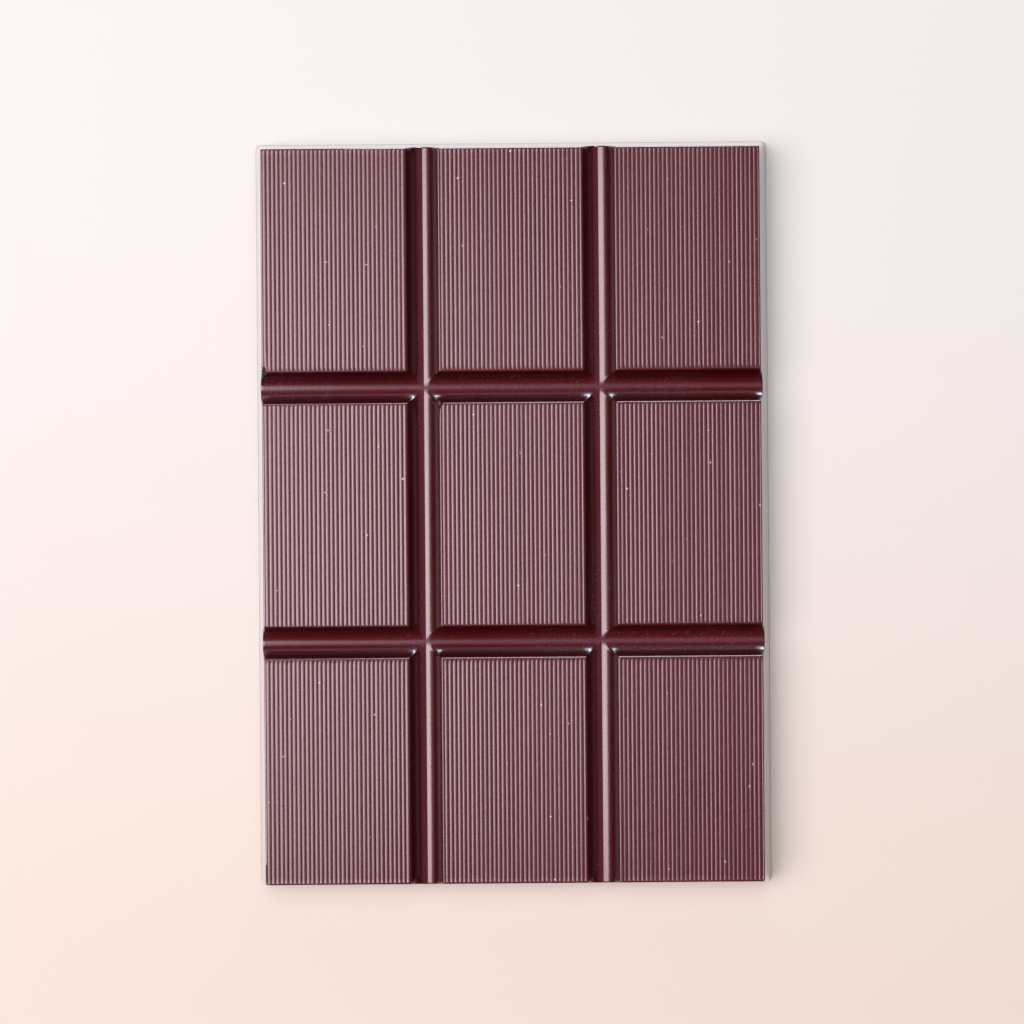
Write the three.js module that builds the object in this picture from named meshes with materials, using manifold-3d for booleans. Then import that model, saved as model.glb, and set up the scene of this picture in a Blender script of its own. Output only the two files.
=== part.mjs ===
// A bar of dark chocolate as one solid: a flat slab with sloping sides, parted by round-bottomed
// grooves into three columns and three rows of segments, each with fine ribs on its face.
// Millimetres, +Z up. The origin is the middle of the flat back and +Y runs along the bar.
import * as THREE from "three";
import { mergeVertices } from "three/addons/utils/BufferGeometryUtils.js";
import Module from "manifold-3d";

// The slab
const HEIGHT = 9;
const SIDE_DRAFT = THREE.MathUtils.degToRad(13.3);
const BASE_CORNER_RADIUS = 0.8;
const TOP_CORNER_RADIUS = 0.35;
const TOP_EDGE_RADIUS = 0.22;

// The segments, measured on the top face from edge to edge; rows are listed from -Y to +Y
const COLUMN_WIDTHS = [22.3, 22.3, 22.3];
const ROW_LENGTHS = [34.7, 34.35, 34.35];

// The grooves: an arc from a root in the middle to a straight wall on each side. Those along the
// bar have a crease for their root, with this slope beside it; those across it have none.
const GROOVE_DEPTH = 2.2;
const GROOVE_WALL_ANGLE = THREE.MathUtils.degToRad(68.5);
const GROOVE_LIP_RADIUS = 0.25;
const LONG_GROOVE = { halfWidth: 2.44, rootAngle: THREE.MathUtils.degToRad(8) };
const CROSS_GROOVE = { halfWidth: 2.415, rootAngle: 0 };

// The ribs, which run along the bar: flat crests with a narrow valley on both sides of each.
// A field of ribs starts and ends in the middle of a valley.
const RIBS_PER_COLUMN = 32;
const RIB_FIELD_WIDTH = 21.36;
const RIB_VALLEY_SHARE = 0.6;
const RIB_DEPTH = 0.06;
const RIB_CREST_DROP = 0.01;
const RIB_SIDE_INSET = 0.3;
const RIB_END_INSET = { slabEdge: 0.2, groove: 0.24 };

// The chips that the bar has, each at a corner of a segment's face: column and row count from the
// corner at -X and -Y, and the side is the end of that column or row that the corner lies on.
const CHIPS = [
  { column: 0, columnSide: -1, row: 2, rowSide: -1, radius: 0.6 },
  { column: 1, columnSide: -1, row: 1, rowSide: 1, radius: 0.55 },
  { column: 0, columnSide: -1, row: 0, rowSide: -1, radius: 0.5 },
];

// How finely round shapes are cut into flats
const CORNER_STEPS = 4;
const EDGE_STEPS = 4;
const FLOOR_STEPS = 10;
const LIP_STEPS = 3;
const VALLEY_STEPS = 4;
const CHIP_DETAIL = 1;

// How far a cutting shape reaches past the surface that it cuts
const OVERCUT = 2;

// Vertices nearer to each other than this are one vertex
const SAME_VERTEX = 1e-5;

// What follows from the dimensions above
const columns = spans(COLUMN_WIDTHS, LONG_GROOVE.halfWidth);
const rows = spans(ROW_LENGTHS, CROSS_GROOVE.halfWidth);
const topWidth = columns.at(-1).end - columns[0].start;
const topLength = rows.at(-1).end - rows[0].start;

const wasm = await Module();
wasm.setup();

// Where segments of the given sizes start and end, with a groove between neighbours, about 0.
function spans(sizes, halfGroove) {
  const total = sizes.reduce((sum, size) => sum + size, 2 * halfGroove * (sizes.length - 1));
  let start = -total / 2;
  return sizes.map((size) => {
    const span = { start, end: start + size };
    start = span.end + 2 * halfGroove;
    return span;
  });
}

// Where the ribs of a column start and end: near the slab's edge, or in the middle of the column.
function ribsAcross(column) {
  let start = (columns[column].start + columns[column].end - RIB_FIELD_WIDTH) / 2;
  if (column === 0) start = columns[column].start + RIB_SIDE_INSET;
  if (column === columns.length - 1) start = columns[column].end - RIB_SIDE_INSET - RIB_FIELD_WIDTH;
  return { start, end: start + RIB_FIELD_WIDTH };
}

// Where the ribs of a row start and end: an outer end keeps the slab edge's inset.
function ribsAlong(row) {
  const startInset = row === 0 ? RIB_END_INSET.slabEdge : RIB_END_INSET.groove;
  const endInset = row === rows.length - 1 ? RIB_END_INSET.slabEdge : RIB_END_INSET.groove;
  return { start: rows[row].start + startInset, end: rows[row].end - endInset };
}

// A three.js geometry as a manifold-3d solid.
function solid(geometry) {
  const bare = geometry.clone();
  bare.deleteAttribute("normal");
  bare.deleteAttribute("uv");
  const merged = mergeVertices(bare, SAME_VERTEX);
  return new wasm.Manifold(
    new wasm.Mesh({
      numProp: 3,
      vertProperties: new Float32Array(merged.attributes.position.array),
      triVerts: new Uint32Array(merged.index.array),
    }),
  );
}

// A manifold-3d solid as a three.js geometry with flat shading.
function geometryOf(manifold) {
  const mesh = manifold.getMesh();
  const indexed = new THREE.BufferGeometry();
  indexed.setAttribute("position", new THREE.BufferAttribute(mesh.vertProperties, mesh.numProp));
  indexed.setIndex(new THREE.BufferAttribute(mesh.triVerts, 1));
  const geometry = indexed.toNonIndexed();
  geometry.computeVertexNormals();
  return geometry;
}

// The corner points of a rectangle with rounded corners, counter-clockwise from above.
function roundedRectangle(width, length, radius) {
  const x = width / 2 - radius;
  const y = length / 2 - radius;
  const shape = new THREE.Shape();
  shape.absarc(x, y, radius, 0, Math.PI / 2);
  shape.absarc(-x, y, radius, Math.PI / 2, Math.PI);
  shape.absarc(-x, -y, radius, Math.PI, 1.5 * Math.PI);
  shape.absarc(x, -y, radius, 1.5 * Math.PI, 2 * Math.PI);
  const points = shape.getPoints(CORNER_STEPS);
  if (points[0].distanceTo(points.at(-1)) < SAME_VERTEX) points.pop();
  return points;
}

// A closed geometry through rings of equally many points, from the bottom ring to the top one.
function loft(rings) {
  const count = rings[0].points.length;
  const positions = rings.flatMap(({ points, z }) => points.flatMap((p) => [p.x, p.y, z]));
  const indices = [];
  for (let ring = 0; ring + 1 < rings.length; ring += 1) {
    for (let i = 0; i < count; i += 1) {
      const a = ring * count + i;
      const b = ring * count + ((i + 1) % count);
      indices.push(a, b, b + count, a, b + count, a + count);
    }
  }
  const topStart = (rings.length - 1) * count;
  for (const [a, b, c] of THREE.ShapeUtils.triangulateShape(rings[0].points, [])) {
    indices.push(a, c, b);
    indices.push(topStart + a, topStart + b, topStart + c);
  }
  const geometry = new THREE.BufferGeometry();
  geometry.setAttribute("position", new THREE.Float32BufferAttribute(positions, 3));
  geometry.setIndex(indices);
  return geometry;
}

// The slab before it is cut: straight sloping sides that round over into the top face.
function slab() {
  const baseGrowth = 2 * HEIGHT * Math.tan(SIDE_DRAFT);
  const rings = [
    {
      z: 0,
      points: roundedRectangle(topWidth + baseGrowth, topLength + baseGrowth, BASE_CORNER_RADIUS),
    },
  ];
  // The rounded edge touches the side wall and the top face, so its centre lies inside both.
  const wallAngle = Math.PI / 2 - SIDE_DRAFT;
  const edgeReach = TOP_EDGE_RADIUS * Math.tan(wallAngle / 2);
  for (let step = 0; step <= EDGE_STEPS; step += 1) {
    const angle = wallAngle * (1 - step / EDGE_STEPS);
    const inset = edgeReach - TOP_EDGE_RADIUS * Math.sin(angle);
    rings.push({
      z: HEIGHT - TOP_EDGE_RADIUS * (1 - Math.cos(angle)),
      points: roundedRectangle(topWidth - 2 * inset, topLength - 2 * inset, TOP_CORNER_RADIUS),
    });
  }
  return solid(loft(rings));
}

// The radius of a groove's floor that brings its walls to the top face at the groove's width.
function floorRadius({ halfWidth, rootAngle }) {
  const arcWidth = Math.sin(GROOVE_WALL_ANGLE) - Math.sin(rootAngle);
  const arcRise = Math.cos(rootAngle) - Math.cos(GROOVE_WALL_ANGLE);
  const wallRun = 1 / Math.tan(GROOVE_WALL_ANGLE);
  return (halfWidth - GROOVE_DEPTH * wallRun) / (arcWidth - arcRise * wallRun);
}

// One side of a groove's outline, from the middle of its floor out over its lip. The x of a point
// is its distance from the groove's middle and its y is its height.
function grooveSide(groove) {
  const radius = floorRadius(groove);
  const points = [];
  for (let step = 0; step <= FLOOR_STEPS; step += 1) {
    const angle = THREE.MathUtils.lerp(groove.rootAngle, GROOVE_WALL_ANGLE, step / FLOOR_STEPS);
    points.push(
      new THREE.Vector2(
        radius * (Math.sin(angle) - Math.sin(groove.rootAngle)),
        HEIGHT - GROOVE_DEPTH + radius * (Math.cos(groove.rootAngle) - Math.cos(angle)),
      ),
    );
  }
  const lipReach = GROOVE_LIP_RADIUS * Math.tan(GROOVE_WALL_ANGLE / 2);
  for (let step = 0; step <= LIP_STEPS; step += 1) {
    const angle = GROOVE_WALL_ANGLE * (1 - step / LIP_STEPS);
    points.push(
      new THREE.Vector2(
        groove.halfWidth + lipReach - GROOVE_LIP_RADIUS * Math.sin(angle),
        HEIGHT - GROOVE_LIP_RADIUS * (1 - Math.cos(angle)),
      ),
    );
  }
  points.push(new THREE.Vector2(points.at(-1).x, HEIGHT + OVERCUT));
  return points;
}

// A prism with the given outline in x and z that runs along Y between two ends.
function prismAlongY(outline, start, end) {
  const geometry = new THREE.ExtrudeGeometry(new THREE.Shape(outline), {
    depth: end - start,
    bevelEnabled: false,
  });
  // The extrusion runs along +Z; this turn lays it along -Y with its outline upright.
  geometry.rotateX(Math.PI / 2);
  geometry.translate(0, end, 0);
  return geometry;
}

// The shape that cuts one groove along Y, in the middle of X, right through the slab's ends.
function grooveCutter(groove, slabLength) {
  const right = grooveSide(groove);
  const left = right
    .slice(1)
    .reverse()
    .map((point) => new THREE.Vector2(-point.x, point.y));
  const reach = slabLength / 2 + HEIGHT * Math.tan(SIDE_DRAFT) + OVERCUT;
  return prismAlongY([...left, ...right], -reach, reach);
}

// The shape that cuts the ribs of one segment: it reaches down into each valley and leaves the
// crests between them almost as high as the rim.
function ribCutter(across, along) {
  const pitch = RIB_FIELD_WIDTH / RIBS_PER_COLUMN;
  const valleyHalf = (pitch * RIB_VALLEY_SHARE) / 2;
  const outline = [];
  for (let valley = 0; valley <= RIBS_PER_COLUMN; valley += 1) {
    for (let step = 0; step <= VALLEY_STEPS; step += 1) {
      const offset = (2 * step) / VALLEY_STEPS - 1;
      const x = across.start + valley * pitch + offset * valleyHalf;
      const shape = (1 + Math.cos(Math.PI * offset)) / 2;
      const crestDrop = x < across.start || x > across.end ? 0 : RIB_CREST_DROP;
      outline.push(new THREE.Vector2(x, HEIGHT - crestDrop - RIB_DEPTH * shape));
    }
  }
  const left = outline[0].x;
  outline.push(new THREE.Vector2(outline.at(-1).x, HEIGHT + OVERCUT));
  outline.push(new THREE.Vector2(left, HEIGHT + OVERCUT));
  return prismAlongY(outline, along.start, along.end);
}

// The ball that takes a chip out of a corner of a segment's face.
function chipCutter({ column, columnSide, row, rowSide, radius }) {
  const geometry = new THREE.IcosahedronGeometry(radius, CHIP_DETAIL);
  const x = columnSide < 0 ? columns[column].start : columns[column].end;
  const y = rowSide < 0 ? rows[row].start : rows[row].end;
  geometry.translate(x, y, HEIGHT);
  return geometry;
}

function chocolateBar() {
  let bar = slab();
  for (const left of columns.slice(0, -1)) {
    const cutter = grooveCutter(LONG_GROOVE, topLength);
    cutter.translate(left.end + LONG_GROOVE.halfWidth, 0, 0);
    bar = bar.subtract(solid(cutter));
  }
  for (const lower of rows.slice(0, -1)) {
    const cutter = grooveCutter(CROSS_GROOVE, topWidth);
    cutter.rotateZ(Math.PI / 2);
    cutter.translate(0, lower.end + CROSS_GROOVE.halfWidth, 0);
    bar = bar.subtract(solid(cutter));
  }
  for (const column of columns.keys()) {
    for (const row of rows.keys()) {
      bar = bar.subtract(solid(ribCutter(ribsAcross(column), ribsAlong(row))));
    }
  }
  for (const chip of CHIPS) bar = bar.subtract(solid(chipCutter(chip)));

  const darkChocolate = new THREE.MeshStandardMaterial({
    color: 0x3d171b,
    roughness: 0.3,
    metalness: 0,
  });
  const mesh = new THREE.Mesh(geometryOf(bar), darkChocolate);
  mesh.name = "chocolate_bar";
  return mesh;
}

const part = new THREE.Group();
part.add(chocolateBar());

export default part;
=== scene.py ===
# A bar of dark chocolate on a plain pale floor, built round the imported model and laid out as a
# Blender add-on. Sizes are in metres. The bar lies on its flat back, +Y runs along it and +Z is up.
import math

import bpy
import numpy as np
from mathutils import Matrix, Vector


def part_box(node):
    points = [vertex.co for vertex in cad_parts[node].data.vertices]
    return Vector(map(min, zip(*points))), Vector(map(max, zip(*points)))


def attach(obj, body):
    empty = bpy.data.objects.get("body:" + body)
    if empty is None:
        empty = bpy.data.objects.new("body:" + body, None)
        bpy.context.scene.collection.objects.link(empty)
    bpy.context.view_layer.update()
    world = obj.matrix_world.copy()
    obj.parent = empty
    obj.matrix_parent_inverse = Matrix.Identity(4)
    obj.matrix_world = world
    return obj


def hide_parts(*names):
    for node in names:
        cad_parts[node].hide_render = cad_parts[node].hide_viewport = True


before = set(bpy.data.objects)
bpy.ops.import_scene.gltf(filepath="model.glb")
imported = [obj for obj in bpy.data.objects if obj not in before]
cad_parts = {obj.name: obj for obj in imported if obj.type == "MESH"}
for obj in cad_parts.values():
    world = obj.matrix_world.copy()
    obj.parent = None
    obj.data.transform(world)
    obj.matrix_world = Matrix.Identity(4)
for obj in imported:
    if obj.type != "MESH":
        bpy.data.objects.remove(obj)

bl_info = {
    "name": "Chocolate Bar",
    "version": (1, 0, 0),
    "blender": (4, 5, 0),
    "location": "3D View > Sidebar > Chocolate",
    "description": "Builds a ribbed bar of dark chocolate and a plain stage for it",
    "category": "Add Mesh",
}

NODE = "chocolate_bar"
BODY = "root"
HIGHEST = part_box(NODE)[1]
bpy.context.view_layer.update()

MM_PER_METRE = 1000.0


# Sizes and colours that a user may change

class BarSizes(bpy.types.PropertyGroup):
    """Sizes of the bar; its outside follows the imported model."""

    side_draft: bpy.props.FloatProperty(
        name="Side draft", description="How far the side walls lean inwards",
        default=math.radians(13.3), subtype="ANGLE")
    top_edge_radius: bpy.props.FloatProperty(
        name="Top edge radius", description="Rounding between the top face and the side walls",
        default=0.00022, subtype="DISTANCE", unit="LENGTH", precision=5)
    base_edge_radius: bpy.props.FloatProperty(
        name="Base edge radius", description="Rounding between the side walls and the flat back",
        default=0.00015, subtype="DISTANCE", unit="LENGTH", precision=5)
    top_corner_radius: bpy.props.FloatProperty(
        name="Top corner radius", description="Rounding of the top face's corners, from above",
        default=0.00035, subtype="DISTANCE", unit="LENGTH", precision=5)
    base_corner_radius: bpy.props.FloatProperty(
        name="Base corner radius", description="Rounding of the back's corners, from above",
        default=0.0008, subtype="DISTANCE", unit="LENGTH", precision=5)
    column_widths: bpy.props.FloatVectorProperty(
        name="Column widths", description="Widths of the segments, from -X to +X",
        default=(0.0223, 0.0223, 0.0223), size=3, unit="LENGTH", precision=5)
    row_lengths: bpy.props.FloatVectorProperty(
        name="Row lengths", description="Lengths of the segments, from -Y to +Y",
        default=(0.0347, 0.03435, 0.03435), size=3, unit="LENGTH", precision=5)
    groove_depth: bpy.props.FloatProperty(
        name="Groove depth", description="Depth of the grooves below the top face",
        default=0.0022, subtype="DISTANCE", unit="LENGTH", precision=5)
    groove_half_width: bpy.props.FloatVectorProperty(
        name="Groove half width", description="Half the width of the grooves along and across the bar",
        default=(0.00244, 0.002415), size=2, unit="LENGTH", precision=5)
    groove_wall_angle: bpy.props.FloatProperty(
        name="Groove wall angle", description="Slope of the grooves' straight walls",
        default=math.radians(68.5), subtype="ANGLE")
    groove_root_angle: bpy.props.FloatVectorProperty(
        name="Groove root angle",
        description="Slope beside the lowest line of the grooves along and across the bar",
        default=(math.radians(8.0), 0.0), size=2, subtype="EULER")
    groove_lip_radius: bpy.props.FloatProperty(
        name="Groove lip radius", description="Rounding between the grooves and the top face",
        default=0.00035, subtype="DISTANCE", unit="LENGTH", precision=5)
    ribs_per_column: bpy.props.IntProperty(
        name="Ribs per column", description="How many ribs a segment's face has", default=32)
    rib_depth: bpy.props.FloatProperty(
        name="Rib depth", description="Height of a rib above the valleys beside it",
        default=0.00005, subtype="DISTANCE", unit="LENGTH", precision=5)
    rib_valley_share: bpy.props.FloatProperty(
        name="Rib valley share", description="Share of the ribs' spacing that a valley takes",
        default=0.54)
    rib_unevenness: bpy.props.FloatProperty(
        name="Rib unevenness", description="How much the valleys' depths differ, as a share",
        default=0.16)
    rib_crest_drop: bpy.props.FloatProperty(
        name="Rib crest drop", description="How far the ribs stay below the rim round them",
        default=0.00001, subtype="DISTANCE", unit="LENGTH", precision=5)
    rib_wander: bpy.props.FloatProperty(
        name="Rib wander", description="How much the valleys' depth varies from place to place",
        default=0.0000035, subtype="DISTANCE", unit="LENGTH", precision=5)
    rib_field_width: bpy.props.FloatProperty(
        name="Rib field width", description="Distance between the first and last valley of a segment",
        default=0.02136, subtype="DISTANCE", unit="LENGTH", precision=5)
    rib_side_inset: bpy.props.FloatProperty(
        name="Rib side inset", description="Distance between the slab's edge and the first valley",
        default=0.0003, subtype="DISTANCE", unit="LENGTH", precision=5)
    rib_end_inset: bpy.props.FloatVectorProperty(
        name="Rib end inset", description="Plain length past the ribs, at a slab edge and a groove",
        default=(0.0002, 0.00024), size=2, unit="LENGTH", precision=5)


class ChocolateFinish(bpy.types.PropertyGroup):
    """Colours and gloss of the chocolate, and the painted shade of its grooves' walls."""

    body_colour: bpy.props.FloatVectorProperty(
        name="Body colour", description="Colour of clean chocolate",
        default=(0.0245, 0.001, 0.0019), size=3, subtype="COLOR")
    worn_colour: bpy.props.FloatVectorProperty(
        name="Worn colour", description="Colour where the surface is rubbed or dull",
        default=(0.029, 0.0023, 0.0037), size=3, subtype="COLOR")
    # Painted shade: a darker colour on the grooves' steep walls, standing in for the shade that falls
    # in them
    painted_wall_shade: bpy.props.FloatVectorProperty(
        name="Painted wall shade", description="Painted shade on the steep walls of the grooves",
        default=(0.014, 0.0006, 0.0009), size=3, subtype="COLOR")
    speck_colour: bpy.props.FloatVectorProperty(
        name="Speck colour", description="Colour of the small pale specks",
        default=(0.3, 0.22, 0.24), size=3, subtype="COLOR")
    rib_roughness: bpy.props.FloatProperty(
        name="Rib roughness", description="Roughness of the ribbed faces", default=0.25)
    groove_roughness: bpy.props.FloatProperty(
        name="Groove roughness", description="Roughness of the grooves", default=0.2)
    side_roughness: bpy.props.FloatProperty(
        name="Side roughness", description="Roughness of the side walls", default=0.08)


class StageSettings(bpy.types.PropertyGroup):
    """Camera and floor."""

    camera_height: bpy.props.FloatProperty(
        name="Camera height", description="Height of the camera above the floor",
        default=0.283, subtype="DISTANCE", unit="LENGTH")
    camera_foot: bpy.props.FloatVectorProperty(
        name="Camera foot", description="Point of the floor straight below the camera",
        default=(0.00506, 0.0103), size=2, unit="LENGTH", precision=5)
    camera_turn: bpy.props.FloatProperty(
        name="Camera turn", description="How far the camera is turned about the upright axis",
        default=math.radians(-0.46), subtype="ANGLE")
    camera_lens: bpy.props.FloatProperty(
        name="Camera lens", description="Focal length in millimetres", default=62.73)
    camera_shift: bpy.props.FloatVectorProperty(
        name="Camera shift", description="Shift of the frame as a share of its width",
        default=(-0.0322, -0.0625), size=2)
    floor_colour: bpy.props.FloatVectorProperty(
        name="Floor colour", description="Colour of the floor",
        default=(0.277, 0.28, 0.272), size=3, subtype="COLOR")
    # Painted shade: a warmer, slightly darker floor colour towards -Y, standing in for the shade in
    # front of the bar
    floor_shade_colour: bpy.props.FloatVectorProperty(
        name="Painted floor shade", description="Painted warm shade of the floor in front of the bar, towards -Y",
        default=(0.28, 0.25, 0.222), size=3, subtype="COLOR")


# Shader maths

# The Mix node's sockets for colours, by number because their names repeat
MIX_SHARE, MIX_FIRST, MIX_SECOND, MIX_RESULT = 0, 6, 7, 2


class Wire:
    """A shader node's output; arithmetic on it adds Math nodes to its graph."""

    def __init__(self, graph, output):
        self.graph = graph
        self.output = output

    def maths(self, operation, *values):
        return self.graph.node("ShaderNodeMath", {"operation": operation}, dict(enumerate(values)))

    def __add__(self, other):
        return self.maths("ADD", self, other)

    def __radd__(self, other):
        return self.maths("ADD", other, self)

    def __sub__(self, other):
        return self.maths("SUBTRACT", self, other)

    def __rsub__(self, other):
        return self.maths("SUBTRACT", other, self)

    def __mul__(self, other):
        return self.maths("MULTIPLY", self, other)

    def __rmul__(self, other):
        return self.maths("MULTIPLY", other, self)

    def __abs__(self):
        return self.maths("ABSOLUTE", self)

    def larger(self, other):
        """The larger of two values."""
        return self.maths("MAXIMUM", self, other)

    def between(self, low, high):
        """0 at low and below, 1 at high and above, and smooth in between."""
        return self.graph.node(
            "ShaderNodeMapRange", {"interpolation_type": "SMOOTHSTEP"},
            {"Value": self, "From Min": low, "From Max": high})


class Graph:
    """A material and the nodes that make it."""

    def __init__(self, name):
        self.material = bpy.data.materials.new(name)
        self.material.use_nodes = True
        self.tree = self.material.node_tree
        self.tree.nodes.clear()

    def node(self, kind, settings=None, inputs=None, output=0):
        """Adds a node, sets it, fills its sockets and returns one of its outputs."""
        made = self.tree.nodes.new(kind)
        for name, value in (settings or {}).items():
            setattr(made, name, value)
        for socket, value in (inputs or {}).items():
            if isinstance(value, Wire):
                self.tree.links.new(value.output, made.inputs[socket])
            else:
                made.inputs[socket].default_value = value
        return Wire(self, made.outputs[output])

    def place(self):
        """Where a point of the surface is on its object, in metres."""
        return self.node("ShaderNodeTexCoord", output="Object")

    def axes(self, vector):
        """The x, y and z of a vector."""
        split = self.node("ShaderNodeSeparateXYZ", inputs={"Vector": vector}).output.node
        return [Wire(self, output) for output in split.outputs]

    def scaled(self, vector, scale):
        """A vector times another, axis by axis."""
        return self.node(
            "ShaderNodeVectorMath", {"operation": "MULTIPLY"}, {0: vector, 1: scale})

    def mix(self, share, first, second):
        """The first colour where share is 0 and the second where it is 1."""
        return self.node(
            "ShaderNodeMix", {"data_type": "RGBA"},
            {MIX_SHARE: share, MIX_FIRST: first, MIX_SECOND: second}, output=MIX_RESULT)

    def noise(self, vector, scale, detail=2.0, roughness=0.5):
        """Cloudy noise from 0 to 1."""
        return self.node(
            "ShaderNodeTexNoise",
            inputs={"Vector": vector, "Scale": scale, "Detail": detail, "Roughness": roughness})

    def finished(self, inputs):
        """The material, with a shader of these inputs as its surface."""
        shader = self.node("ShaderNodeBsdfPrincipled", inputs=inputs)
        end = self.tree.nodes.new("ShaderNodeOutputMaterial")
        self.tree.links.new(shader.output, end.inputs["Surface"])
        return self.material


def opaque(colour):
    """A colour as the four numbers that a socket takes."""
    return (*colour, 1.0)


# The bar's shape

# How many steps the round shapes are cut into
LIP_STEPS = 3
WALL_STEPS = 2
FLOOR_STEPS = 9
EDGE_STEPS = 3
BASE_STEPS = 3
FADE_STEPS = 2
FIELD_STEPS = 3

# Extra mesh lines: this far above a groove's lowest line, and this far inside the top face's rim
ROOT_LINE = 0.000004
RIM_LINE = 0.00004

# Least distance between the mesh lines of a rib field and the lines next to the field
LINE_ROOM = 0.000013

# Share of a valley's half width that half of its round bottom and half of each round shoulder take
VALLEY_ROUNDING = 0.3
RIB_PLACES = (0.0, VALLEY_ROUNDING, 1 - VALLEY_ROUNDING, 1 + VALLEY_ROUNDING)

# Length over which the ribs fade out at their ends
RIB_FADE = 0.00014

# Lengths of the waves along a rib, and how much they change the crests' drop, as a share
RIB_WAVES = (0.004, 0.02)
CREST_WANDER = 0.4

# Difference in depth over which the ridges at the crossings are rounded
RIDGE_ROUNDING = 0.00005

# Where the rings of vertices lie on the side walls, as shares of the walls' height from the top
SIDE_SHARES = (0.04, 0.08, 0.12, 0.96)

# Angle above level at which the foot's rounding starts: a fine crease sets it off from the wall
FOOT_START = math.radians(62)

# Length beside each corner over which the side walls' vertices fan out towards the wider base
CORNER_SPREAD = 0.006

# Seeds of the random draws
RIB_SEED = 7
CHIP_SEED = 8


class Groove:
    """The cross-section of a groove, by distance from its middle line.

    Each half is an arc that starts at the root with the root's slope, a straight wall and a
    rounded lip."""

    def __init__(self, sizes, axis):
        self.depth = sizes.groove_depth
        self.wall = sizes.groove_wall_angle
        self.root = sizes.groove_root_angle[axis]
        self.half_width = sizes.groove_half_width[axis]
        self.lip_radius = sizes.groove_lip_radius
        arc_width = math.sin(self.wall) - math.sin(self.root)
        arc_rise = math.cos(self.root) - math.cos(self.wall)
        wall_run = 1 / math.tan(self.wall)
        self.floor_radius = (
            (self.half_width - self.depth * wall_run) / (arc_width - arc_rise * wall_run))
        self.floor_half = self.floor_radius * arc_width
        self.wall_foot = self.depth - self.floor_radius * arc_rise
        self.lip_end = self.half_width + self.lip_radius * math.tan(self.wall / 2)

    def drops(self):
        """Depths below the top face from the lip's outer end down to the middle of the floor."""
        lip = [
            self.lip_radius * (1 - math.cos(self.wall * step / LIP_STEPS))
            for step in range(LIP_STEPS + 1)
        ]
        wall = np.linspace(lip[-1], self.wall_foot, WALL_STEPS + 1)[1:]
        turns = np.linspace(self.wall, self.root, FLOOR_STEPS + 1)[1:-1]
        floor = self.depth - self.floor_radius * (math.cos(self.root) - np.cos(turns))
        return np.array([*lip, *wall, *floor, self.depth - ROOT_LINE, self.depth])

    def distances(self, drops):
        """Distance from the middle line at which the groove is each of these depths deep."""
        rise = np.clip(self.depth - drops, 0, None) / self.floor_radius
        turn = np.arccos(np.clip(math.cos(self.root) - rise, -1, 1))
        on_floor = self.floor_radius * (np.sin(turn) - math.sin(self.root))
        on_wall = self.floor_half + (self.wall_foot - drops) / math.tan(self.wall)
        below_rim = np.clip(self.lip_radius ** 2 - (self.lip_radius - drops) ** 2, 0, None)
        on_lip = self.lip_end - np.sqrt(below_rim)
        lip_foot = self.lip_radius * (1 - math.cos(self.wall))
        return np.where(
            drops >= self.wall_foot, on_floor, np.where(drops >= lip_foot, on_wall, on_lip))

    def drop_at(self, distance):
        """Depth below the top face at these distances from the middle line."""
        away = np.abs(distance)
        turn = np.arcsin(np.clip(away / self.floor_radius + math.sin(self.root), -1, 1))
        floor = self.depth - self.floor_radius * (math.cos(self.root) - np.cos(turn))
        wall = self.wall_foot - (away - self.floor_half) * math.tan(self.wall)
        lip = self.lip_radius - np.sqrt(
            np.clip(self.lip_radius ** 2 - (self.lip_end - away) ** 2, 0, None))
        lip_foot = self.lip_end - self.lip_radius * math.sin(self.wall)
        drop = np.where(away <= self.floor_half, floor, np.where(away <= lip_foot, wall, lip))
        return np.where(away >= self.lip_end, 0.0, drop)


def spans(sizes, half_groove):
    """Where segments of the given sizes start and end, with a groove between neighbours."""
    start = -(sum(sizes) + 2 * half_groove * (len(sizes) - 1)) / 2
    found = []
    for size in sizes:
        found.append((start, start + size))
        start += size + 2 * half_groove
    return found


def inset_spans(found, insets):
    """The part of each span inside its insets: one at the slab's two edges, one at grooves."""
    last = len(found) - 1
    return [
        (start + insets[0 if i == 0 else 1], end - insets[0 if i == last else 1])
        for i, (start, end) in enumerate(found)
    ]


def rib_fields(columns, width, inset):
    """Where the ribs start and end in each column: near the slab's edge, or in the middle."""
    first, last = columns[0][0] + inset, columns[-1][1] - inset
    inner = [((start + end) / 2 - width / 2, (start + end) / 2 + width / 2)
             for start, end in columns[1:-1]]
    return [(first, first + width), *inner, (last - width, last)]


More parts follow.
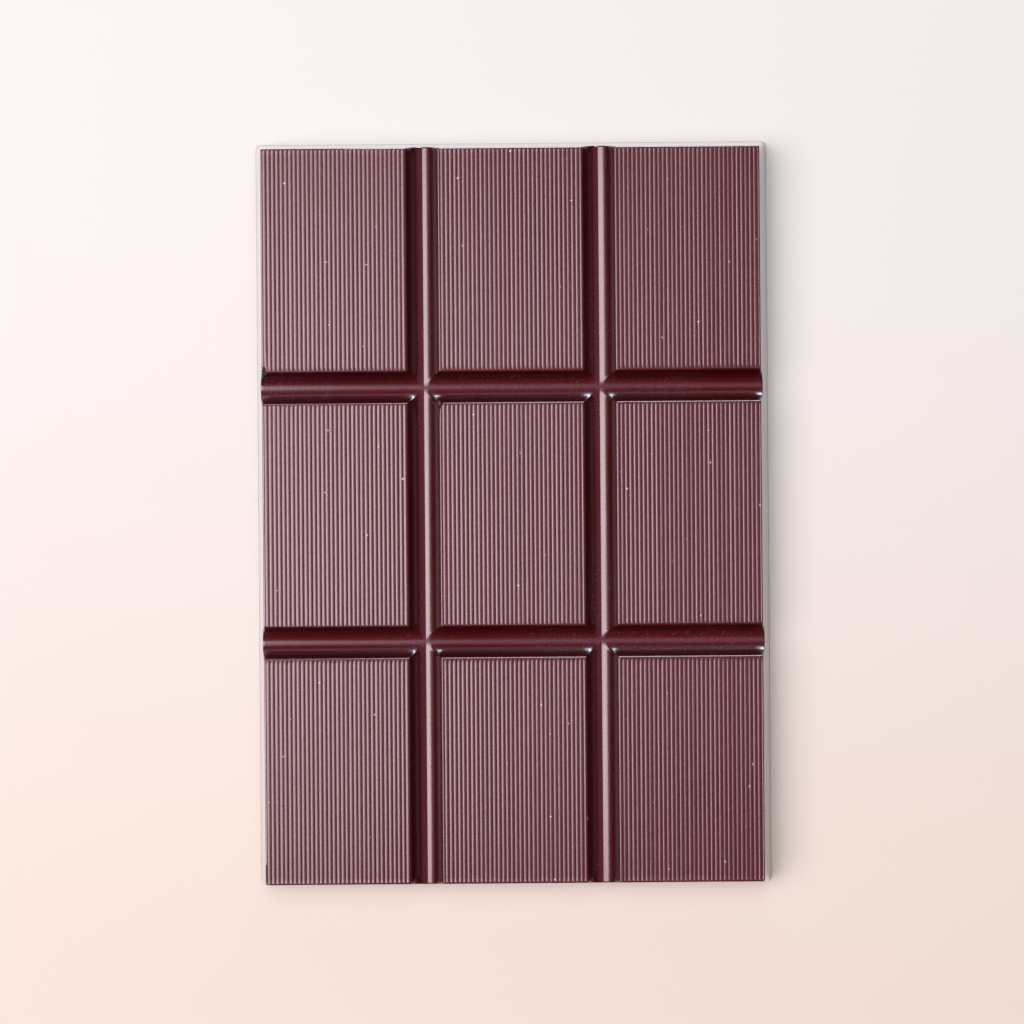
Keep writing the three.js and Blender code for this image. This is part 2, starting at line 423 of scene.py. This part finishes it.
class Layout:
    """The bar's plan: its outline, its segments, its grooves and the lines of its mesh."""

    def __init__(self, sizes):
        self.sizes = sizes
        self.height = HIGHEST.z
        self.slope = math.tan(sizes.side_draft)
        spread = self.height * self.slope
        self.half = (HIGHEST.x - spread, HIGHEST.y - spread)
        self.wall_angle = math.pi / 2 - sizes.side_draft
        self.edge_reach = sizes.top_edge_radius * math.tan(self.wall_angle / 2)
        self.grooves = (Groove(sizes, 0), Groove(sizes, 1))
        self.drops = self.grooves[0].drops()
        self.columns = spans(sizes.column_widths, self.grooves[0].half_width)
        self.rows = spans(sizes.row_lengths, self.grooves[1].half_width)
        self.across = rib_fields(self.columns, sizes.rib_field_width, sizes.rib_side_inset)
        self.along = inset_spans(self.rows, sizes.rib_end_inset)
        self.rib_pitch = sizes.rib_field_width / sizes.ribs_per_column
        self.valley_half = self.rib_pitch * sizes.rib_valley_share / 2

    def flat_top(self, column):
        """Where the flat top of a column starts and ends, inside the lips and the rounded edges."""
        lip = self.grooves[0].lip_end - self.grooves[0].half_width
        return inset_spans(self.columns, (self.edge_reach, lip))[column]

    def groove_middles(self, axis):
        """Where the grooves that part the columns (axis 0) or the rows (axis 1) have their middle."""
        found = (self.columns, self.rows)[axis]
        return [(left[1] + right[0]) / 2 for left, right in zip(found, found[1:])]

    def groove_drop(self, axis, place):
        """How deep the grooves of one axis are at these places along it."""
        groove = self.grooves[axis]
        each = [groove.drop_at(place - middle) for middle in self.groove_middles(axis)]
        return np.max(each, axis=0)

    def groove_lines(self, axis, middle):
        """Mesh lines across a groove, where both kinds of groove are equally deep."""
        reach = self.grooves[axis].distances(self.drops)
        return [*(middle - reach), *(middle + reach[-2::-1])]

    def lines(self, axis, field_lines):
        """All mesh lines across the top face, and for each groove the index of its first line.

        The rule field_lines gives the lines of one field of ribs."""
        edge = self.half[axis] - self.edge_reach
        fields = (self.across, self.along)[axis]
        middles = self.groove_middles(axis)
        found, firsts = [-edge, RIM_LINE - edge], []
        for number, field in enumerate(fields):
            last = number == len(middles)
            following = (
                [edge - RIM_LINE, edge] if last else self.groove_lines(axis, middles[number]))
            low, high = found[-1] + LINE_ROOM, following[0] - LINE_ROOM
            found += [line for line in field_lines(field) if low < line < high]
            if not last:
                firsts.append(len(found))
            found += following
        return np.array(found), firsts


def rib_lines(layout):
    """Returns the rule for mesh lines across a field of ribs: some beside each valley's middle."""
    beside = np.array(RIB_PLACES) * layout.valley_half
    valleys = layout.rib_pitch * np.arange(layout.sizes.ribs_per_column + 1)

    def place(field):
        found = []
        for valley in field[0] + valleys:
            found += [*(valley - beside[:0:-1]), *(valley + beside)]
        return found
    return place


def run_lines(field):
    """Mesh lines along a field of ribs: close together at its ends and ever further apart inwards."""
    start, end = field
    half = (end - start) / 2
    rise = np.linspace(0, RIB_FADE, FADE_STEPS + 1)
    inwards = np.geomspace(RIB_FADE, half, FIELD_STEPS + 1)[1:]
    steps = np.array([*rise, *inwards])
    return [*(start + steps), *(end - steps[-2::-1])]


def valley_shape(beside):
    """Depth of a valley as a share, by distance from its middle as a share of its half width."""
    straight = 1 - beside
    bottom = 1 - (beside ** 2 / VALLEY_ROUNDING + VALLEY_ROUNDING) / 2
    shoulder = np.clip(1 + VALLEY_ROUNDING - beside, 0, None) ** 2 / (4 * VALLEY_ROUNDING)
    outer = np.where(beside > 1 - VALLEY_ROUNDING, shoulder, straight)
    depth = np.where(beside < VALLEY_ROUNDING, bottom, outer)
    return depth / (1 - VALLEY_ROUNDING / 2)


def rib_relief(layout, x, y):
    """How far the ribs' surface lies below the top face, for each pair of mesh lines."""
    sizes = layout.sizes
    valleys = sizes.ribs_per_column + 1
    rng = np.random.default_rng(RIB_SEED)
    relief = np.zeros((len(x), len(y)))
    for column, (start, end) in enumerate(layout.across):
        left, right = layout.flat_top(column)
        turn = (x - start) / layout.rib_pitch
        nearest = np.clip(np.round(turn), 0, sizes.ribs_per_column).astype(int)
        beside = np.abs(turn - nearest) * layout.rib_pitch / layout.valley_half
        valley = valley_shape(beside)
        crest = (x > start) & (x < end)
        covered = (x > left) & (x < right)
        for low, high in layout.along:
            rise = np.clip(np.minimum(y - low, high - y) / RIB_FADE, 0, 1)
            fade = rise * rise * (3 - 2 * rise)
            # Two waves for each valley's depth, and two for the crest beside it
            shape = (2, 2, valleys)
            phases = rng.uniform(0, 2 * math.pi, shape)
            waves = rng.uniform(*RIB_WAVES, shape)
            wander = np.sin(2 * math.pi * y / waves[..., None] + phases[..., None]).sum(1)
            uneven = 1 + sizes.rib_unevenness * rng.uniform(-1, 1, valleys)[nearest]
            depth = sizes.rib_depth * uneven[:, None] + sizes.rib_wander * wander[0][nearest]
            depth *= valley[:, None]
            crest_drop = np.where(crest, sizes.rib_crest_drop, 0)[:, None]
            depth += crest_drop * (1 + CREST_WANDER * wander[1][nearest])
            relief += np.where(covered[:, None], depth, 0) * fade
    return relief


def rounded_ridges(first, second, deepest):
    """The deeper of two grooves at each place, with the ridges between them rounded off."""
    deep, shallow = np.maximum(first, second), np.minimum(first, second)
    radius = np.minimum(RIDGE_ROUNDING, np.minimum(shallow, deepest - deep))
    gap = deep - shallow
    inside = np.clip(2 * radius ** 2 - gap ** 2, 0, None)
    return np.where(gap < radius, (deep + shallow + np.sqrt(inside)) / 2, deep)


def rounded_corner(x, y, half_x, half_y, radius):
    """Draws in the points near a rectangle's corners, so that the corners become round."""
    u = np.clip(1 - (half_x - np.abs(x)) / radius, 0, 1)
    v = np.clip(1 - (half_y - np.abs(y)) / radius, 0, 1)
    both = (u > 0) & (v > 0)
    round_x = np.sign(x) * (half_x - radius + radius * u * np.sqrt(1 - v * v / 2))
    round_y = np.sign(y) * (half_y - radius + radius * v * np.sqrt(1 - u * u / 2))
    return np.where(both, round_x, x), np.where(both, round_y, y)


def top_face(layout, x, y):
    """The vertices of the top face as an array of lines across, lines along and x, y, z."""
    sizes = layout.sizes
    drop_x, drop_y = layout.groove_drop(0, x), layout.groove_drop(1, y)
    deep = rounded_ridges(drop_x[:, None], drop_y[None, :], sizes.groove_depth)
    height = layout.height - deep - rib_relief(layout, x, y)
    place_x, place_y = np.meshgrid(x, y, indexing="ij")
    half_x, half_y = layout.half[0] - layout.edge_reach, layout.half[1] - layout.edge_reach
    place_x, place_y = rounded_corner(place_x, place_y, half_x, half_y, sizes.top_corner_radius)
    # Where a groove lowers the rim, the rim's two lines move outwards with the leaning side wall
    place_x[:2] -= drop_y * layout.slope
    place_x[-2:] += drop_y * layout.slope
    place_y[:, :2] -= drop_x[:, None] * layout.slope
    place_y[:, -2:] += drop_x[:, None] * layout.slope
    return np.stack([place_x, place_y, height], axis=-1)


def side_profile(layout):
    """Outward and upward places of the rounded top edge and the foot, in a section of the side.

    Outwards counts from the sharp top edge; upwards counts from that edge and from the back."""
    sizes = layout.sizes
    angles = np.linspace(0, layout.wall_angle, EDGE_STEPS + 1)[1:]
    radius = sizes.top_edge_radius
    edge = [
        (radius * math.sin(a) - layout.edge_reach, -radius * (1 - math.cos(a))) for a in angles]
    radius = sizes.base_edge_radius
    middle = (layout.height - radius) * layout.slope - radius / math.cos(sizes.side_draft)
    turns = np.linspace(FOOT_START, -math.pi / 2, BASE_STEPS + 1)
    base = [(middle + radius * math.cos(a), radius + radius * math.sin(a)) for a in turns]
    return edge, base


def side_rings(layout, x, y):
    """Rings of vertices round the bar, from below the top face's rim down to the flat back."""
    sizes = layout.sizes
    edge_x, edge_y = x[-1], y[-1]
    rim_x = np.concatenate([
        x, np.full(len(y) - 1, edge_x), x[-2::-1], np.full(len(y) - 2, -edge_x)])
    rim_y = np.concatenate([
        np.full(len(x), -edge_y), y[1:], np.full(len(x) - 1, edge_y), y[-2:0:-1]])
    on_end, on_side = np.abs(rim_y) >= edge_y, np.abs(rim_x) >= edge_x
    drop = np.where(on_end, layout.groove_drop(0, rim_x), layout.groove_drop(1, rim_y))
    follow_x = np.clip((np.abs(rim_x) - edge_x + CORNER_SPREAD) / CORNER_SPREAD, 0, 1) ** 2
    follow_y = np.clip((np.abs(rim_y) - edge_y + CORNER_SPREAD) / CORNER_SPREAD, 0, 1) ** 2
    edge, base = side_profile(layout)
    levels = [(out + drop * layout.slope, layout.height - drop + up) for out, up in edge]
    wall_top, wall_foot = levels[-1][1], base[0][1]
    for share in SIDE_SHARES:
        z = wall_top + (wall_foot - wall_top) * share
        levels.append(((layout.height - z) * layout.slope, z))
    levels += [(np.full(len(drop), out), np.full(len(drop), z)) for out, z in base]
    rings = []
    for out, z in levels:
        plain_out = (layout.height - z) * layout.slope
        corner_out = np.minimum(out, plain_out)
        grown = out + layout.edge_reach
        px = rim_x + np.sign(rim_x) * grown * np.where(on_side, 1, follow_x)
        py = rim_y + np.sign(rim_y) * grown * np.where(on_end, 1, follow_y)
        down = np.clip(1 - z / layout.height, 0, 1)
        top_radius, base_radius = sizes.top_corner_radius, sizes.base_corner_radius
        radius = top_radius + (base_radius - top_radius) * down
        half_x, half_y = layout.half[0] + corner_out, layout.half[1] + corner_out
        px, py = rounded_corner(px, py, half_x, half_y, radius)
        rings.append(np.stack([px, py, z], axis=-1))
    return rings


# The bar's small damages

# Each chip sits at a corner of a segment; its ends are 0 towards -X or -Y and 1 towards +X or +Y
CHIPS = (
    {"column": 0, "column_end": 0, "row": 2, "row_end": 0, "radius": 0.0006},
    {"column": 1, "column_end": 0, "row": 1, "row_end": 1, "radius": 0.00055},
    {"column": 0, "column_end": 0, "row": 0, "row_end": 0, "radius": 0.0005},
)
CHIP_STEEPNESS = 0.9

# How uneven the chips are, as a share of their radius, in waves of these radians per metre
CHIP_UNEVENNESS = 0.18
CHIP_WAVES = (3000.0, 9000.0)


def chipped(layout, points):
    """Pushes the vertices that lie in a chip's ball on to the ball, downwards and into the bar."""
    rng = np.random.default_rng(CHIP_SEED)
    points = points.copy()
    for chip in CHIPS:
        x = layout.columns[chip["column"]][chip["column_end"]]
        y = layout.rows[chip["row"]][chip["row_end"]]
        side_x, side_y = (-1 if end else 1 for end in (chip["column_end"], chip["row_end"]))
        inward = np.array([side_x, side_y, -CHIP_STEEPNESS])
        inward /= np.linalg.norm(inward)
        offset = points - (x, y, layout.height)
        waves = rng.uniform(*CHIP_WAVES, 3)
        phases = rng.uniform(0, 2 * math.pi, 3)
        uneven = np.sin(offset * waves + phases).mean(axis=1)
        radius = chip["radius"] * (1 + CHIP_UNEVENNESS * uneven)
        distance = np.linalg.norm(offset, axis=1)
        along = offset @ inward
        reach = np.sqrt(np.clip(radius ** 2 - distance ** 2 + along ** 2, 0, None))
        push = np.where(distance < radius, reach - along, 0)
        points += push[:, None] * inward
    return points


# The bar's mesh

def quads_between(upper, lower):
    """Faces between two loops of vertices, which both run anticlockwise as seen from above."""
    return np.stack([upper, lower, np.roll(lower, -1), np.roll(upper, -1)], axis=1)


def top_quads(across, along, first_across, first_along, groove_lines):
    """Vertex numbers and faces of the top grid.

    At each crossing, the faces on one diagonal are turned so that the ridge runs along their
    own diagonals."""
    index = np.arange(across * along).reshape(across, along)
    corners = [index[:-1, :-1], index[1:, :-1], index[1:, 1:], index[:-1, 1:]]
    quads = np.stack(corners, axis=-1)
    for i in first_across:
        for j in first_along:
            for step in range(groove_lines - 1):
                cell = (i + step, j + groove_lines - 2 - step)
                quads[cell] = np.roll(quads[cell], -1)
    return index, quads.reshape(-1, 4)


def bar_mesh(sizes):
    """The whole bar as one closed mesh with a flat back."""
    layout = Layout(sizes)
    x, first_across = layout.lines(0, rib_lines(layout))
    y, first_along = layout.lines(1, run_lines)
    top = top_face(layout, x, y)
    rings = side_rings(layout, x, y)
    points = chipped(layout, np.concatenate([top.reshape(-1, 3), *rings]))

    groove_lines = 2 * len(layout.drops) - 1
    index, quads = top_quads(len(x), len(y), first_across, first_along, groove_lines)
    rim = np.concatenate([index[:, 0], index[-1, 1:], index[-2::-1, -1], index[0, -2:0:-1]])
    loops = [rim]
    for number in range(len(rings)):
        loops.append(index.size + number * len(rim) + np.arange(len(rim)))
    faces = [quads, *(quads_between(upper, lower) for upper, lower in zip(loops, loops[1:]))]
    faces = np.concatenate(faces).tolist()
    faces.append(loops[-1][::-1].tolist())

    mesh = bpy.data.meshes.new("chocolate")
    mesh.from_pydata(points.tolist(), [], faces)
    mesh.polygons.foreach_set("use_smooth", [True] * (len(faces) - 1) + [False])
    if mesh.validate():
        raise RuntimeError("the bar's mesh had faults")
    return mesh


# Finishes

# How fine the patterns in the chocolate's surface are, as noise scales on places in millimetres.
# The streaks' places are multiplied first, so that the streaks run along the bar.
CLOUD_SCALE = 0.045
STREAK_SCALE = 1.0
STREAK_STRETCH = (1.6, 0.14, 1.6)
GRAIN_SCALE = 3.2
SPECK_SCALE = 0.12
SPECK_PATCH_SCALE = 0.12

# Values of the patterns between which their effects set in, or for the specks end
CLOUD_RANGE = (0.35, 0.7)
STREAK_RANGE = (0.4, 0.75)
DUST_RANGE = (0.55, 0.75)
SPECK_RANGE = (0.03, 0.045)
SPECK_PATCH_RANGE = (0.42, 0.62)

# How strongly the patterns act
CLOUD_WEAR = 0.35
STREAK_WEAR = 0.4
DUST_COVER = 0.1
SPECK_RAGGEDNESS = 0.05
CLOUD_ROUGHNESS = 0.03
STREAK_ROUGHNESS = 0.02
BUMP_STRENGTH = 0.15
BUMP_DISTANCE = 0.00002

# Millimetres below the top face between which the grooves' finish changes, and between which the
# painted shade on their walls sets in and ends
GROOVE_DEPTHS = (0.1, 0.25)
WALL_SHADE_TOP_DEPTHS = (0.05, 0.5)
WALL_SHADE_FOOT_DEPTHS = (1.6, 2.15)

# Millimetres outwards from the side walls' plane, and above the floor, where their finish sets in
SIDE_PLACES = (-0.25, -0.12)
POLISH_HEIGHTS = (0.2, 0.6)

CHOCOLATE_IOR = 1.48
COAT_ROUGHNESS = 0.05


def chocolate_finish(finish):
    """Dark chocolate: satin ribs, smoother grooves, painted shade on the grooves' steep walls,
    polished sides, dull clouds and pale specks.
    """
    graph = Graph("dark_chocolate")
    place = graph.scaled(graph.place(), (MM_PER_METRE,) * 3)
    x, y, z = graph.axes(place)

    clouds = graph.noise(place, CLOUD_SCALE, detail=3.0).between(*CLOUD_RANGE)
    streaks = graph.noise(graph.scaled(place, STREAK_STRETCH), STREAK_SCALE, detail=3.0)
    grain = graph.noise(place, GRAIN_SCALE, detail=4.0, roughness=0.65)
    pores = graph.node(
        "ShaderNodeTexVoronoi", {"feature": "F1", "voronoi_dimensions": "2D"},
        {"Vector": place, "Scale": SPECK_SCALE})

    depth = HIGHEST.z * MM_PER_METRE - z
    slope = math.tan(bpy.context.scene.bar_sizes.side_draft)
    groove = depth.between(*GROOVE_DEPTHS)
    # Painted shade: where the grooves' steep walls get a darker colour
    wall = depth.between(*WALL_SHADE_TOP_DEPTHS) * (1 - depth.between(*WALL_SHADE_FOOT_DEPTHS))
    side_x = (abs(x) + z * slope - HIGHEST.x * MM_PER_METRE).between(*SIDE_PLACES)
    side_y = (abs(y) + z * slope - HIGHEST.y * MM_PER_METRE).between(*SIDE_PLACES)
    side = side_x.larger(side_y)
    speck = 1 - (pores + grain * SPECK_RAGGEDNESS).between(*SPECK_RANGE)
    specks = speck * (1 - side) * (1 - groove)
    specks = specks * graph.noise(place, SPECK_PATCH_SCALE).between(*SPECK_PATCH_RANGE)
    dust = clouds * grain.between(*DUST_RANGE) * DUST_COVER
    polished = side * z.between(*POLISH_HEIGHTS)

    wear = clouds * CLOUD_WEAR + streaks.between(*STREAK_RANGE) * STREAK_WEAR
    colour = graph.mix(wear, opaque(finish.body_colour), opaque(finish.worn_colour))
    # Painted shade on the grooves' steep walls, away from the side walls
    colour = graph.mix(wall * (1 - side), colour, opaque(finish.painted_wall_shade))
    colour = graph.mix(specks + dust, colour, opaque(finish.speck_colour))
    roughness = finish.rib_roughness + groove * (finish.groove_roughness - finish.rib_roughness)
    roughness = roughness + clouds * CLOUD_ROUGHNESS + streaks * STREAK_ROUGHNESS
    roughness = roughness + polished * (finish.side_roughness - roughness)
    bump = graph.node("ShaderNodeBump", inputs={
        "Strength": BUMP_STRENGTH, "Distance": BUMP_DISTANCE, "Height": grain + streaks})
    return graph.finished({
        "Base Color": colour, "Roughness": roughness, "Normal": bump, "IOR": CHOCOLATE_IOR,
        "Coat Weight": polished, "Coat Roughness": COAT_ROUGHNESS})


# Places along Y between which the floor turns from its painted warm shade, towards -Y, to its own
# colour, and its gloss
FLOOR_CHANGE = (-0.09, 0.05)
FLOOR_ROUGHNESS = 0.7
FLOOR_SPECULAR = 0.2


def floor_finish(settings):
    """A plain pale matt floor, with a painted warm shade in front of the bar that grows towards -Y."""
    graph = Graph("pale_floor")
    y = graph.axes(graph.place())[1]
    # Painted shade: the floor turns warmer and darker towards -Y
    near = 1 - y.between(*FLOOR_CHANGE)
    colour = graph.mix(near, opaque(settings.floor_colour), opaque(settings.floor_shade_colour))
    return graph.finished({
        "Base Color": colour, "Roughness": FLOOR_ROUGHNESS, "Specular IOR Level": FLOOR_SPECULAR})


# The stage

# Soft boxes that face the middle of the floor. A matt surface gets no light from one whose matt
# is False, and nothing mirrors one whose reflected is False.
SOFT_LIGHTS = (
    {"name": "key", "place": (-0.5045, -0.03, 0.8634), "size": (0.62, 0.562),
     "radiance": 15.0, "colour": (1.0, 0.86, 0.9)},
    {"name": "halo", "place": (-0.178, 0, 1.086), "size": (0.55, 0.204),
     "radiance": 2.4, "colour": (0.95, 0.56, 1.0)},
    {"name": "overhead", "place": (0.1, 0, 1.144), "size": (0.7, 0.365),
     "radiance": 0.5, "colour": (1.0, 0.78, 0.94)},
    {"name": "ceiling", "place": (0.5, 0, 1.2), "size": (0.95, 1.25),
     "radiance": 0.45, "colour": (1.0, 0.86, 0.95)},
    {"name": "west", "place": (-0.83, 0, 0.56), "size": (0.6, 0.2),
     "radiance": 0.8, "colour": (1.0, 0.88, 0.85)},
    {"name": "north", "place": (0, 0.839, 0.545), "size": (0.9, 0.3),
     "radiance": 1.2, "colour": (0.9, 0.9, 1.0)},
    {"name": "low_north", "place": (0.15, 0.949, 0.276), "size": (0.57, 0.3),
     "radiance": 34.0, "colour": (0.78, 0.86, 1.0), "matt": False},
    {"name": "fill", "place": (-0.15, 0.28, 1.47), "size": (1.2, 1.2),
     "radiance": 10.7, "colour": (1.0, 0.96, 0.94), "reflected": False},
)
SKY_COLOUR = (0.95, 0.92, 1.0)
SKY_STRENGTH = 0.05
FLOOR_SIZE = 4.0
SENSOR_WIDTH_MM = 36.0


def placed(name, data):
    """A new object with this data, shown in the scene."""
    made = bpy.data.objects.new(name, data)
    bpy.context.scene.collection.objects.link(made)
    return made


def soft_light(name, place, size, radiance, colour, reflected=True, matt=True):
    """A rectangular soft box that faces the origin; its power follows from size and radiance."""
    light = bpy.data.lights.new(name, "AREA")
    light.shape = "RECTANGLE"
    light.size, light.size_y = size
    light.energy = radiance * math.pi * size[0] * size[1]
    light.color = colour
    made = placed(name, light)
    made.location = place
    made.rotation_euler = (-Vector(place)).to_track_quat("-Z", "Y").to_euler()
    made.visible_glossy = reflected
    made.visible_diffuse = matt


def build_sky():
    """A faint even light from all round."""
    world = bpy.data.worlds.new("sky")
    world.use_nodes = True
    background = world.node_tree.nodes["Background"]
    background.inputs["Color"].default_value = opaque(SKY_COLOUR)
    background.inputs["Strength"].default_value = SKY_STRENGTH
    bpy.context.scene.world = world


def build_camera(settings):
    """A camera that looks straight down and sees the bar off its middle."""
    camera = bpy.data.cameras.new("camera")
    camera.sensor_width = SENSOR_WIDTH_MM
    camera.lens = settings.camera_lens
    camera.shift_x, camera.shift_y = settings.camera_shift
    made = placed("camera", camera)
    made.location = (*settings.camera_foot, settings.camera_height)
    made.rotation_euler = (0, 0, settings.camera_turn)
    bpy.context.scene.camera = made


def build_floor(settings):
    """A large square floor at the height of the bar's back."""
    half = FLOOR_SIZE / 2
    corners = [(-half, -half, 0), (half, -half, 0), (half, half, 0), (-half, half, 0)]
    mesh = bpy.data.meshes.new("floor")
    mesh.from_pydata(corners, [], [(0, 1, 2, 3)])
    mesh.materials.append(floor_finish(settings))
    placed("floor", mesh)


# The add-on

class CHOCOLATE_OT_build_bar(bpy.types.Operator):
    """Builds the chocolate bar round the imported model"""

    bl_idname = "chocolate.build_bar"
    bl_label = "Build bar"

    def execute(self, context):
        scene = context.scene
        mesh = bar_mesh(scene.bar_sizes)
        mesh.materials.append(chocolate_finish(scene.chocolate_finish))
        bar = placed("bar", mesh)
        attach(bar, BODY)
        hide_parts(NODE)
        return {"FINISHED"}


class CHOCOLATE_OT_build_stage(bpy.types.Operator):
    """Builds the floor, the lights and the camera"""

    bl_idname = "chocolate.build_stage"
    bl_label = "Build stage"

    def execute(self, context):
        settings = context.scene.stage_settings
        context.scene.view_settings.view_transform = "Standard"
        build_floor(settings)
        build_sky()
        build_camera(settings)
        for light in SOFT_LIGHTS:
            soft_light(**light)
        return {"FINISHED"}


class CHOCOLATE_PT_sidebar(bpy.types.Panel):
    """Lists what can be built and the sizes and colours that it follows"""

    bl_idname = "CHOCOLATE_PT_sidebar"
    bl_label = "Chocolate bar"
    bl_space_type = "VIEW_3D"
    bl_region_type = "UI"
    bl_category = "Chocolate"

    def draw(self, context):
        layout = self.layout
        layout.operator(CHOCOLATE_OT_build_bar.bl_idname)
        layout.operator(CHOCOLATE_OT_build_stage.bl_idname)
        for group in (context.scene.bar_sizes, context.scene.chocolate_finish,
                      context.scene.stage_settings):
            column = layout.column()
            for name in group.__annotations__:
                column.prop(group, name)


CLASSES = (
    BarSizes, ChocolateFinish, StageSettings,
    CHOCOLATE_OT_build_bar, CHOCOLATE_OT_build_stage, CHOCOLATE_PT_sidebar,
)


def register():
    for made in CLASSES:
        bpy.utils.register_class(made)
    bpy.types.Scene.bar_sizes = bpy.props.PointerProperty(type=BarSizes)
    bpy.types.Scene.chocolate_finish = bpy.props.PointerProperty(type=ChocolateFinish)
    bpy.types.Scene.stage_settings = bpy.props.PointerProperty(type=StageSettings)


def unregister():
    del bpy.types.Scene.stage_settings
    del bpy.types.Scene.chocolate_finish
    del bpy.types.Scene.bar_sizes
    for made in reversed(CLASSES):
        bpy.utils.unregister_class(made)


def main():
    register()
    bpy.ops.chocolate.build_bar()
    bpy.ops.chocolate.build_stage()


if __name__ == "__main__":
    main()
